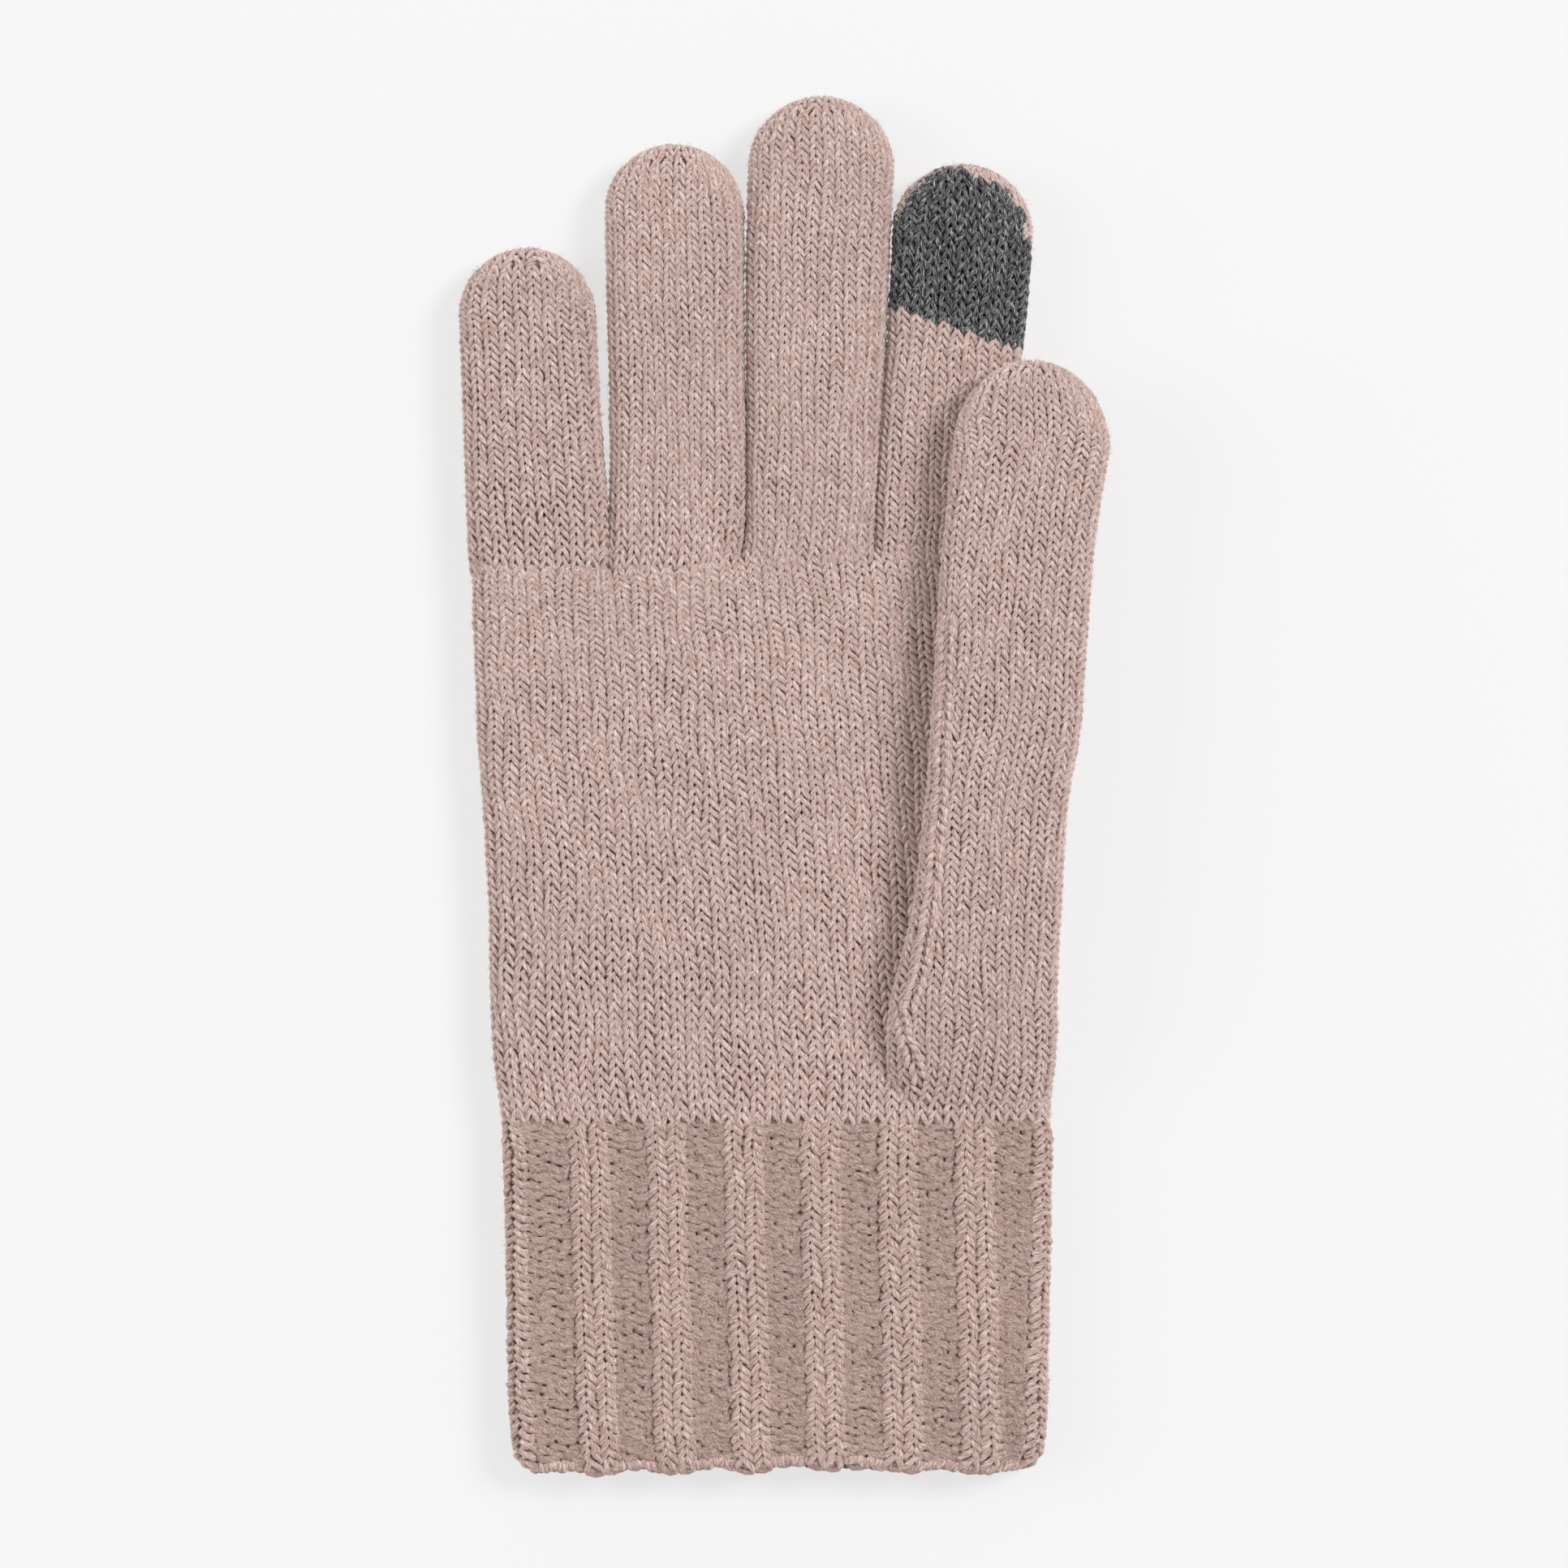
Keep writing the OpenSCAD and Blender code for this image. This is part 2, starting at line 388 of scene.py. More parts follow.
def fuzz(courses, per_stitch, keep=None, length=1.35, r=0.033):
    """Loose fibres that stand up from the yarn."""
    P = np.vstack([c["P"] + c["N"] * c["r"][:, None] * 0.8 for c in courses])
    N = np.vstack([c["N"] for c in courses])
    T = np.vstack([np.roll(c["P"], -1, 0) - c["P"] for c in courses])
    T /= np.maximum(np.linalg.norm(T, axis=1, keepdims=True), 1e-9)
    ok = np.concatenate([c["depth"] for c in courses]) > 0.1
    if keep is not None:
        ok &= np.concatenate([keep(c) for c in courses])
    ids = np.nonzero(ok)[0]
    n = int(len(ids) / 6 * per_stitch)
    i = ids[rng.integers(0, len(ids), n)]
    d0 = N[i] * rng.uniform(0.1, 0.6, (n, 1)) + T[i] * rng.normal(0, 0.9, (n, 1)) + rng.normal(0, 0.5, (n, 3))
    d0 /= np.linalg.norm(d0, axis=1, keepdims=True)
    d1 = d0 - N[i] * rng.uniform(0.2, 1.2, (n, 1)) + rng.normal(0, 0.45, (n, 3))
    d1 /= np.linalg.norm(d1, axis=1, keepdims=True)
    L = length * rng.uniform(0.5, 1.3, (n, 1))
    pts = np.stack([P[i] + rng.normal(0, 0.12, (n, 3)), P[i] + d0 * L * 0.5, P[i] + d0 * L * 0.5 + d1 * L * 0.5], 1)
    B = np.cross(d0, rng.normal(0, 1, (n, 3)))
    B /= np.maximum(np.linalg.norm(B, axis=1, keepdims=True), 1e-9)
    M = np.cross(d0, B)
    ang = 2 * math.pi * np.arange(3) / 3
    off = np.cos(ang)[None, :, None] * B[:, None] + np.sin(ang)[None, :, None] * M[:, None]
    rr = r * np.array([1.0, 0.9, 0.3])
    V = pts[:, :, None] + off[:, None] * rr[None, :, None, None]
    f = np.arange(n)[:, None, None] * 9
    a, k = np.arange(2)[None, :, None] * 3, np.arange(3)[None, None]
    F = np.stack([f + a + k, f + a + 3 + k, f + a + 3 + (k + 1) % 3, f + a + (k + 1) % 3], -1).reshape(-1, 4)
    u = np.repeat(rng.uniform(0, 900, n), 6)
    UV = np.stack([np.stack([u, u * 0 + 0.1], -1), np.stack([u + 0.8, u * 0 + 0.1], -1), np.stack([u + 0.8, u * 0 + 0.4], -1), np.stack([u, u * 0 + 0.4], -1)], 1)
    # a depth of 0.7 keeps the fibres out of the painted shade
    return V.reshape(-1, 3), F, UV, np.full(9 * n, 0.7), 3


def shell_mesh(surf, ja, jb, off=-0.02, every=3, keep=None):
    """The inner face of the fabric, just behind the middle of the yarn. The pieces give it a material darker than the
    yarn: painted shade seen through the gaps between stitches.
    """
    rows = np.arange(surf.row(ja), surf.row(jb) + 1)
    cols = np.arange(0, 2 * QH, every)
    if callable(off):
        off = np.stack([off(cols / (2 * QH), surf.j0 + r * surf.step) for r in rows])[..., None]
    P = surf.P[rows][:, cols] + surf.N[rows][:, cols] * off
    nr, nq = P.shape[:2]
    i, k = np.arange(nr - 1)[:, None], np.arange(nq)[None]
    k1 = (k + 1) % nq
    F = np.stack([i * nq + k, i * nq + k1, (i + 1) * nq + k1, (i + 1) * nq + k], -1)
    if keep is not None:
        mid = (P[:-1] + np.roll(P, -1, 1)[:-1] + P[1:] + np.roll(P, -1, 1)[1:]) / 4
        F = F[keep(mid)]
    F = F.reshape(-1, 4)
    return P.reshape(-1, 3), F


# ---------------------------------------------------------------- materials
def yarn_material(name, dark, mid, light, painted_shade, strand=1.0, streak=0.34, rough=0.9, sheen=0.8, sheen_tint=(1, 0.92, 0.88), bump=0.9):
    mat = bpy.data.materials.new(name)
    mat.use_nodes = True
    nt = mat.node_tree
    nt.nodes.clear()
    new = nt.nodes.new
    link = nt.links.new
    out = new("ShaderNodeOutputMaterial")
    bs = new("ShaderNodeBsdfPrincipled")
    link(bs.outputs[0], out.inputs[0])
    bs.inputs["Roughness"].default_value = rough
    bs.inputs["Sheen Weight"].default_value = sheen
    bs.inputs["Sheen Roughness"].default_value = 0.45
    bs.inputs["Sheen Tint"].default_value = (*sheen_tint, 1)
    bs.inputs["Specular IOR Level"].default_value = 0.25
    uv = new("ShaderNodeUVMap")
    uv.uv_map = "yarn"
    sep = new("ShaderNodeSeparateXYZ")
    link(uv.outputs[0], sep.inputs[0])

    def math_node(op, a, b):
        m = new("ShaderNodeMath")
        m.operation = op
        for i, x in enumerate((a, b)):
            if isinstance(x, (int, float)):
                m.inputs[i].default_value = x
            else:
                link(x, m.inputs[i])
        return m.outputs[0]

    # strands turn round the yarn as they run along it
    turn = math_node("MULTIPLY_ADD", sep.outputs[0], 0.16)
    turn.node.inputs[2].default_value = 0.0
    around = math_node("ADD", sep.outputs[1], turn)
    ang = math_node("MULTIPLY", around, 2 * math.pi)
    cs = math_node("COSINE", ang, 0)
    sn = math_node("SINE", ang, 0)
    comb = new("ShaderNodeCombineXYZ")
    link(math_node("MULTIPLY", sep.outputs[0], 0.42), comb.inputs[0])
    link(math_node("MULTIPLY", cs, 1.0 * strand), comb.inputs[1])
    link(math_node("MULTIPLY", sn, 1.0 * strand), comb.inputs[2])
    fine = new("ShaderNodeTexNoise")
    fine.inputs["Scale"].default_value = 2.3
    fine.inputs["Detail"].default_value = 3.0
    fine.inputs["Roughness"].default_value = 0.62
    link(comb.outputs[0], fine.inputs["Vector"])
    geo = new("ShaderNodeTexCoord")
    broad = new("ShaderNodeTexNoise")
    broad.inputs["Scale"].default_value = 60.0
    broad.inputs["Detail"].default_value = 3.0
    link(geo.outputs["Object"], broad.inputs["Vector"])
    ramp = new("ShaderNodeValToRGB")
    e = ramp.color_ramp.elements
    e[0].position, e[0].color = 0.5 - streak * 0.42, (*dark, 1)
    e[1].position, e[1].color = 0.5 + streak * 0.5, (*light, 1)
    m = ramp.color_ramp.elements.new(0.5)
    m.color = (*mid, 1)
    link(fine.outputs[0], ramp.inputs[0])
    # painted shade: where the yarn lies deeper in the fabric, and on the side of each yarn that faces into it, its
    # colour is mixed towards a warm, dark shade colour
    dep = new("ShaderNodeAttribute")
    dep.attribute_name = "depth"
    dep.attribute_type = "GEOMETRY"
    mr = new("ShaderNodeMapRange")
    mr.inputs["From Min"].default_value = -0.75
    mr.inputs["From Max"].default_value = 0.35
    mr.inputs["To Min"].default_value = 1.0
    mr.inputs["To Max"].default_value = 0.0
    link(dep.outputs["Fac"], mr.inputs["Value"])
    shade_mix = new("ShaderNodeMix")
    shade_mix.data_type = "RGBA"
    link(mr.outputs[0], shade_mix.inputs["Factor"])
    link(ramp.outputs[0], shade_mix.inputs["A"])
    shade_mix.inputs["B"].default_value = (*painted_shade, 1)
    var = new("ShaderNodeMapRange")
    var.inputs["From Min"].default_value = 0.3
    var.inputs["From Max"].default_value = 0.7
    var.inputs["To Min"].default_value = 0.955
    var.inputs["To Max"].default_value = 1.045
    link(broad.outputs[0], var.inputs["Value"])
    mul = new("ShaderNodeVectorMath")
    mul.operation = "SCALE"
    link(shade_mix.outputs["Result"], mul.inputs[0])
    link(var.outputs[0], mul.inputs["Scale"])
    link(mul.outputs[0], bs.inputs["Base Color"])
    bp = new("ShaderNodeBump")
    bp.inputs["Strength"].default_value = bump
    bp.inputs["Distance"].default_value = 0.0004
    link(fine.outputs[0], bp.inputs["Height"])
    link(bp.outputs[0], bs.inputs["Normal"])
    return mat


def lin(r, g, b):
    f = lambda c: ((c / 255 + 0.055) / 1.055) ** 2.4 if c > 10 else c / 255 / 12.92
    return (f(r), f(g), f(b))


def inner_material(name, col):
    mat = bpy.data.materials.new(name)
    mat.use_nodes = True
    nt = mat.node_tree
    bs = nt.nodes["Principled BSDF"]
    bs.inputs["Roughness"].default_value = 0.95
    bs.inputs["Sheen Weight"].default_value = 0.2
    tc = nt.nodes.new("ShaderNodeTexCoord")
    nz = nt.nodes.new("ShaderNodeTexNoise")
    nz.inputs["Scale"].default_value = 900.0
    nz.inputs["Detail"].default_value = 2.0
    nt.links.new(tc.outputs["Object"], nz.inputs["Vector"])
    rp = nt.nodes.new("ShaderNodeValToRGB")
    rp.color_ramp.elements[0].position = 0.3
    rp.color_ramp.elements[0].color = (*[c * 0.75 for c in col], 1)
    rp.color_ramp.elements[1].position = 0.7
    rp.color_ramp.elements[1].color = (*[min(c * 1.2, 1) for c in col], 1)
    nt.links.new(nz.outputs[0], rp.inputs[0])
    nt.links.new(rp.outputs[0], bs.inputs["Base Color"])
    bp = nt.nodes.new("ShaderNodeBump")
    bp.inputs["Strength"].default_value = 0.5
    bp.inputs["Distance"].default_value = 0.0002
    nt.links.new(nz.outputs[0], bp.inputs["Height"])
    nt.links.new(bp.outputs[0], bs.inputs["Normal"])
    return mat


ROSE = yarn_material("rose_yarn", lin(179, 140, 128), lin(220, 189, 181), lin(255, 241, 236), lin(128, 86, 72), strand=1.2, streak=0.31)
RIB = yarn_material("rose_rib_yarn", lin(170, 133, 120), lin(208, 177, 167), lin(251, 233, 226), lin(120, 80, 66), strand=1.2, streak=0.31)
# painted shade: the channel yarn is coloured darker than the ribs' yarn, for the shade in the channels between the ribs
RIB_CHANNEL_PAINTED_SHADE = yarn_material("rose_channel_yarn", lin(150, 114, 102), lin(192, 160, 149), lin(239, 217, 208), lin(138, 99, 86), strand=1.6, streak=0.36, bump=1.0)
TOUCH = yarn_material("charcoal_yarn", lin(22, 22, 23), lin(66, 66, 68), lin(214, 214, 216), lin(12, 12, 13), strand=1.3, streak=0.3, sheen=0.2, sheen_tint=(1, 1, 1))
# painted light: the loose fibres are coloured lighter than the yarn they stand up from, for the light that passes
# through them
ROSE_FUZZ_PAINTED_LIGHT = yarn_material("rose_fibres", lin(214, 188, 178), lin(240, 222, 214), lin(255, 248, 244), lin(200, 172, 160), bump=0.2)
TOUCH_FUZZ_PAINTED_LIGHT = yarn_material("charcoal_fibres", lin(60, 60, 62), lin(120, 120, 122), lin(230, 230, 232), lin(50, 50, 52), sheen=0.2, sheen_tint=(1, 1, 1), bump=0.2)
# painted shade: the inner faces are coloured darker than the yarn, for the shade seen through the gaps between stitches
ROSE_IN_PAINTED_SHADE = inner_material("rose_inside", lin(152, 110, 94))
TOUCH_IN_PAINTED_SHADE = inner_material("charcoal_inside", lin(30, 30, 31))


# ---------------------------------------------------------------- meshes
def make_piece(name, courses, shells, mats, pick=None, flat=1.0, extra=(), alt=None):
    """One mesh from courses of yarn and strips of inner shell. pick(course, stitch) keeps some stitches."""
    Vs, Fs, UVs, Ds, Ms = [], [], [], [], []
    base = 0
    for c in courses:
        V, F, UV, D, fs = sweep(c, flat)
        if pick is not None:
            keep = pick(c)[fs]
            F, UV = F[keep], UV[keep]
        Vs.append(V); Fs.append(F + base); UVs.append(UV); Ds.append(D)
        third = np.zeros(len(F), int)
        if alt is not None:
            third[np.repeat(alt(c), NC)] = 2
        Ms.append(third)
        base += len(V)
    for V, F, UV, D, *kind in extra:
        Vs.append(V); Fs.append(F + base); UVs.append(UV); Ds.append(D)
        Ms.append(np.full(len(F), kind[0] if kind else 0))
        base += len(V)
    for V, F in shells:
        Vs.append(V); Fs.append(F + base)
        UVs.append(np.repeat(V[F][..., :2], 1, 0))
        Ds.append(np.full(len(V), -1.0)); Ms.append(np.ones(len(F), int))
        base += len(V)
    V, F, UV, D, Mi = np.vstack(Vs), np.vstack(Fs), np.vstack(UVs), np.concatenate(Ds), np.concatenate(Ms)
    used = np.zeros(len(V), bool)
    used[F.ravel()] = True
    new_id = np.cumsum(used) - 1
    V, D, F = V[used], D[used], new_id[F]
    V = V.copy()
    V[:, 2] = np.maximum(V[:, 2], 0.02)
    me = bpy.data.meshes.new(name)
    me.vertices.add(len(V))
    me.vertices.foreach_set("co", (V * 0.001).astype(np.float32).ravel())
    me.loops.add(F.size)
    me.loops.foreach_set("vertex_index", F.ravel().astype(np.int32))
    me.polygons.add(len(F))
    me.polygons.foreach_set("loop_start", np.arange(0, F.size, 4, dtype=np.int32))
    me.polygons.foreach_set("loop_total", np.full(len(F), 4, np.int32))
    me.polygons.foreach_set("material_index", Mi.astype(np.int32))
    me.polygons.foreach_set("use_smooth", np.ones(len(F), bool))
    uvl = me.uv_layers.new(name="yarn")
    uvl.data.foreach_set("uv", UV.astype(np.float32).ravel())
    at = me.attributes.new("depth", "FLOAT", "POINT")
    at.data.foreach_set("value", D.astype(np.float32))
    me.update(calc_edges=True)
    for m in mats:
        me.materials.append(m)
    ob = bpy.data.objects.new(name, me)
    scene.collection.objects.link(ob)
    STATS[name] = len(F) * 2
    return ob


STATS = {}


def knit_finger(surf, nh, h=1.42, a=0.3, d=0.48, r=0.46, first=0, gusset=False):
    """All courses of a finger, with nh wales on its front and as many on its back."""
    surf.wale = float(surf.L[surf.row(surf.jc), 0]) / nh
    wob = Waves(2 * nh, 0.08, 10), Waves(2 * nh, 0.10, 10)
    out = []
    for j in range(first, surf.m + 1):
        cen, bnd = layout_cap(surf, j, nh) if j > surf.jc + 0.5 else layout_gusset(surf, j, surf.wale) if gusset else layout_even(2 * nh)
        # the course that joins the tube to the palm lies a little behind the palm's own last one
        out.append(course(surf, j, cen, bnd, h, a, d, r, wob=wob, rough=1.6 if j < 0 else 1.0, z_off=-0.2 if j < 0 else 0.0))
    return out


# ---------------------------------------------------------------- the hand
ROOT = 41.0
Z_TOP = 9.4

# The line where the fingers are picked up from the palm isn't quite straight: how far it lies from ROOT, across the hand
ROOT_LINE = table([(-58, -1.5), (-45, -1.9), (-33, -2.5), (-20, -2.4), (-12, -1.0), (-8, -0.4), (5, -0.4), (16, 0.4), (30, 0.3), (43, 0.0)], smooth=2.5)

# (y, centre x) and (y, half width) of each finger's outline, and its tip
FINGERS = {
    "little": dict(
        c=[(40, -44.1), (47, -44.3), (53, -44.9), (62, -45.5), (75, -46.15), (85, -46.5), (98, -46.6)],
        a=[(40, 13.3), (47, 13.35), (53, 13.05), (58, 12.85), (66, 12.7), (75, 12.65), (85, 12.6)],
        tip=97.4, cap=12.6, nh=10, folds=(55.5, 72.5), zone=((41, 49.3), (50, 61), (66.5, 78.5)), cuts=(49.5, 65)),
    "ring": dict(
        c=[(40, -20.2), (46, -19.4), (58, -19.1), (76, -19.4), (89, -19.7), (98, -19.8), (116, -20.0)],
        a=[(40, 12.5), (46, 12.85), (58, 12.6), (76, 12.5), (98, 12.75)],
        tip=116.2, cap=12.7, nh=12, folds=(64.7, 88.7), zone=((41, 52.5), (57.7, 71.7), (81.7, 95.7)), cuts=(53, 77)),
    "middle": dict(
        c=[(40, 4.0), (45, 4.9), (62, 5.5), (80, 5.8), (98, 6.2), (111, 6.7), (125, 6.7)],
        a=[(40, 12.7), (45, 12.1), (62, 12.4), (80, 12.95), (98, 13.15), (111, 13.4)],
        tip=124.9, cap=13.3, nh=12, folds=(70.0, 97.0), zone=((41, 53.5), (63, 77), (90, 104)), cuts=(54, 84)),
    "index": dict(
        c=[(40, 29.0), (45, 29.2), (65, 29.9), (80, 31.0), (88, 31.7), (98, 32.3), (113, 32.3)],
        a=[(40, 13.4), (50, 13.2), (65, 12.8), (80, 12.5), (88, 12.8), (98, 12.9)],
        tip=112.6, cap=12.8, nh=11, folds=(61.1, 83.1), zone=((41, 51.3), (54, 68), (76, 90)), cuts=(51.5, 72)),
}

BUILT = []


def rest_of(name, bodies, zone, centre_x):
    return bodies, zone, centre_x


def blend_y(ob, a, b, y0, y1):
    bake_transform(ob)


# The touch yarn covers the front of the index fingertip down to a sloping line. A rim of the back's yarn shows round it.
def touch_area(D, x, y, z, spare=0.0):
    ang = np.degrees(np.arctan2(y - 99.8, x - 32.3))
    rim = np.interp(ang, [-8, 0, 12, 25, 75, 95, 112, 130, 150, 170], [0.3, 1.6, 0.5, 1.7, 1.9, 1.2, 0.4, 1.0, 0.9, 0.3])
    return (z > ZC + 0.6 - 1.1 * spare) & (y > 86.0 - (x - 19.3) * 0.32 - spare) & (D(x, y) > rim - 0.35 * spare)


for f, s in FINGERS.items():
    surf = finger_surface(table(s["c"]), table(s["a"]), s["tip"], s["cap"], ROOT + 0.9, 1.45, root=ROOT_LINE)
    s["surf"] = surf
    cs = knit_finger(surf, s["nh"], first=-1)
    j1 = min(range(surf.m + 1), key=lambda j: abs(float(surf.y_of(j)) - s["cuts"][0]))
    j2 = min(range(surf.m + 1), key=lambda j: abs(float(surf.y_of(j)) - s["cuts"][1]))
    parts = [("base", 0, j1, f"{f}_base"), ("mid", j1, j2, f"{f}_mid"), ("tip", j2, surf.m + 1, f"{f}_tip")]
    bodies = ["palm", f"{f}_base", f"{f}_mid", f"{f}_tip"]
    for n, (part, ja, jb, node) in enumerate(parts):
        last = part == "tip"
        shell = shell_mesh(surf, ja - (1.0 if n == 0 else 0.5), surf.m if last else jb)
        pick = None
        if f == "index" and last:
            pick = lambda c: ~touch_area(surf.D, *c["P"].reshape(-1, NS, 3).mean(1).T)
            shell = shell_mesh(surf, ja - 0.5, surf.m, keep=lambda p: ~touch_area(surf.D, *np.moveaxis(p, -1, 0)))
        mine = cs[(ja + 1 if n else 0):jb + 1]
        hairs = fuzz(mine, 3.6, keep=(lambda c: np.repeat(pick(c), NS)) if pick else None)
        ob = make_piece(f"{f}_{part}_knit", mine, [shell], [ROSE, ROSE_IN_PAINTED_SHADE, ROSE, ROSE_FUZZ_PAINTED_LIGHT], pick=pick, extra=[hairs] + ([closing(surf)] if last else []))
        if f == "index" and last:
            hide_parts("index_tip_back")
        else:
            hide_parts(node)
        blend_y(ob, bodies[n], bodies[n + 1], *s["zone"][n])
    if f == "index":
        pad = finger_surface(table(s["c"]), table(s["a"]), s["tip"] + 0.1, s["cap"], 82.75, 2.02, lean=17.8)
        pad_courses = knit_finger(pad, s["nh"], h=1.8, a=0.3, d=0.5, r=0.43)
        on_pad = lambda c: touch_area(pad.D, *c["P"].reshape(-1, NS, 3).mean(1).T, spare=1.0)
        ob = make_piece(
            "touch_pad_knit", pad_courses,
            [shell_mesh(pad, -0.6, pad.m, off=-0.3, keep=lambda p: touch_area(pad.D, *np.moveaxis(p, -1, 0), spare=0.4))],
            [TOUCH, TOUCH_IN_PAINTED_SHADE, TOUCH, TOUCH_FUZZ_PAINTED_LIGHT], pick=on_pad,
            extra=[fuzz(pad_courses, 1.8, keep=lambda c: np.repeat(on_pad(c), NS), length=1.1, r=0.034)])
        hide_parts("index_touch_pad")
        blend_y(ob, bodies[2], bodies[3], *s["zone"][2])

# The palm, one tube from the cuff to the finger roots
LEFT = table([(-125, -48.6), (-114, -49.5), (-96, -49.8), (-79, -50.2), (-66, -50.6), (-61, -51.2), (-52, -52.7), (-43, -53.3), (-26, -53.6), (-17, -53.9), (-8, -54.6), (0, -55.0), (10, -55.9), (18, -56.1), (30, -56.6), (42, -56.8)])
RIGHT = table([(-125, 46.4), (-114, 47.4), (-96, 47.6), (-79, 48.0), (-66, 48.2), (-61, 48.3), (-52, 48.9), (-40, 48.6), (-28, 47.6), (-15, 46.5), (0, 45.5), (15, 44.5), (30, 43.5), (42, 42.2)])
CROTCH = [(-31.8, 39.4), (-8.1, 41.7), (16.1, 43.0)]
CUFF_TOP = -61.0


def palm_d(x, y):
    d = np.minimum(x - LEFT(y), RIGHT(y) - x) - INSET
    for cx, cy in CROTCH:
        d = np.minimum(d, np.hypot(x - cx, y - cy) - INSET * 0.6)
    return np.maximum(d, 0)


P_BOT, P_END = CUFF_TOP + 0.8, ROOT - 0.5
M_P = 64
PITCH_P = (P_END - P_BOT) / M_P


def palm_y(j):
    t = j / M_P
    return P_BOT + (P_END - P_BOT) * (t + 0.05 * np.sin(math.pi * np.clip(t, 0, 1)))


def palm_ring(j):
    y = float(palm_y(j))
    near = float(np.clip((j - (M_P - 14)) / 14.0, 0, 1.1)) ** 1.5
    hh = lambda x, yy: HM * bulge(palm_d(x, yy), 6.5)
    return ring_paths(LEFT(y) + INSET, RIGHT(y) - INSET, lambda x: y + near * ROOT_LINE(x), lambda x, yy: ZC + hh(x, yy), lambda x, yy: ZC - hh(x, yy), n=361)


palm = Surface(M_P, palm_ring)
palm.y_of, palm.pitch = palm_y, PITCH_P
N_P = 75
palm_wob = Waves(N_P, 0.09), Waves(N_P, 0.12)
palm_courses = [course(palm, j, *layout_even(N_P), 1.5, 0.3, 0.48, 0.5, wob=palm_wob) for j in range(M_P + 1)]

stage_j = min(range(M_P), key=lambda j: abs(float(palm_y(j)) + 20.6))
above = M_P + 1 - stage_j
edges = [0, stage_j // 3, 2 * stage_j // 3] + [stage_j + above * k // 4 for k in range(5)]
for n, (ja, jb) in enumerate(zip(edges[:-1], edges[1:])):
    lower = jb <= stage_j
    name = f"palm_{'lower' if lower else 'upper'}_knit_{n + 1 if lower else n - 2}"
    shell = shell_mesh(palm, ja - 0.5, jb if jb <= M_P else M_P, every=3)
    ob = make_piece(name, palm_courses[ja:jb], [shell], [ROSE, ROSE_IN_PAINTED_SHADE, ROSE, ROSE_FUZZ_PAINTED_LIGHT], extra=[fuzz(palm_courses[ja:jb], 4.2)])
    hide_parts("palm_lower" if lower else "palm_upper")
    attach(ob, "palm")

# The rib cuff
C_END = -122.4
M_C = 40
PITCH_C = (CUFF_TOP - 0.4 - C_END) / M_C
HC = 3.1
N_C = 56


def cuff_ring(j):
    y = C_END + j * PITCH_C
    corner = np.clip((-118.8 - y) / 4.6, 0, 1)
    xl, xr = LEFT(y) + INSET + 2.6 * corner ** 2.4, RIGHT(y) - INSET - 2.6 * corner ** 2.4
    hh = lambda x: HC * bulge(np.minimum(x - xl, xr - x), 5.0)
    # the hem dips a little under each rib
    low = np.clip((-114 - y) / 8.0, 0, 1) ** 2
    dip = lambda x: low * (-0.28 * np.cos(2 * math.pi * (x - RIB_END[0]) / 13.8) + 0.22 * np.sin(0.11 * x + 1.0))
    return ring_paths(xl, xr, lambda x: y + dip(x), lambda x, yy: ZC + hh(x), lambda x, yy: ZC - hh(x), n=361)


# Where the middle of each rib lies across the front, at the cuff's top and its bottom. Ribs also run down both edges.
RIB_TOP = [-35.4, -21.2, -7.3, 6.5, 20.4, 34.0]
RIB_END = [-33.4, -19.9, -5.9, 7.4, 21.6, 35.6]
cuff = Surface(M_C, cuff_ring)
cuff.y_of, cuff.pitch = (lambda j: C_END + j * PITCH_C), PITCH_C


def rib_knots(j):
    y = cuff.y_of(j)
    f = float(np.clip((CUFF_TOP - y) / 62.0, 0, 1))
    xs = [a + (b - a) * f for a, b in zip(RIB_TOP, RIB_END)]
    # the ribs on the two edges reach further across the front than they would if evenly spaced
    y = cuff.y_of(j)
    xs = [LEFT(y) + 3.9, xs[0] - 3.5] + xs + [xs[-1] + 3.5, RIGHT(y) - 3.7]
    qs = [0.0] + [float(cuff.q_of_x(j, x)) for x in xs] + [0.5]
    ps = [0, 0.25, 0.75, 1, 2, 3, 4, 5, 6, 6.25, 6.75, 7]
    return np.r_[ps, [14 - v for v in ps[-2::-1]]], np.r_[qs, [1 - v for v in qs[-2::-1]]]


def rib_lift(q, j, jc):
    ps, qs = rib_knots(jc)
    p = np.interp(q % 1.0, qs, ps)
    wave = np.tanh(1.4 * (np.cos(2 * math.pi * p) + 0.1)) / math.tanh(1.4)
    return 0.72 * wave * np.clip((cuff.m + 0.9 - j) / 3.2, 0, 1)


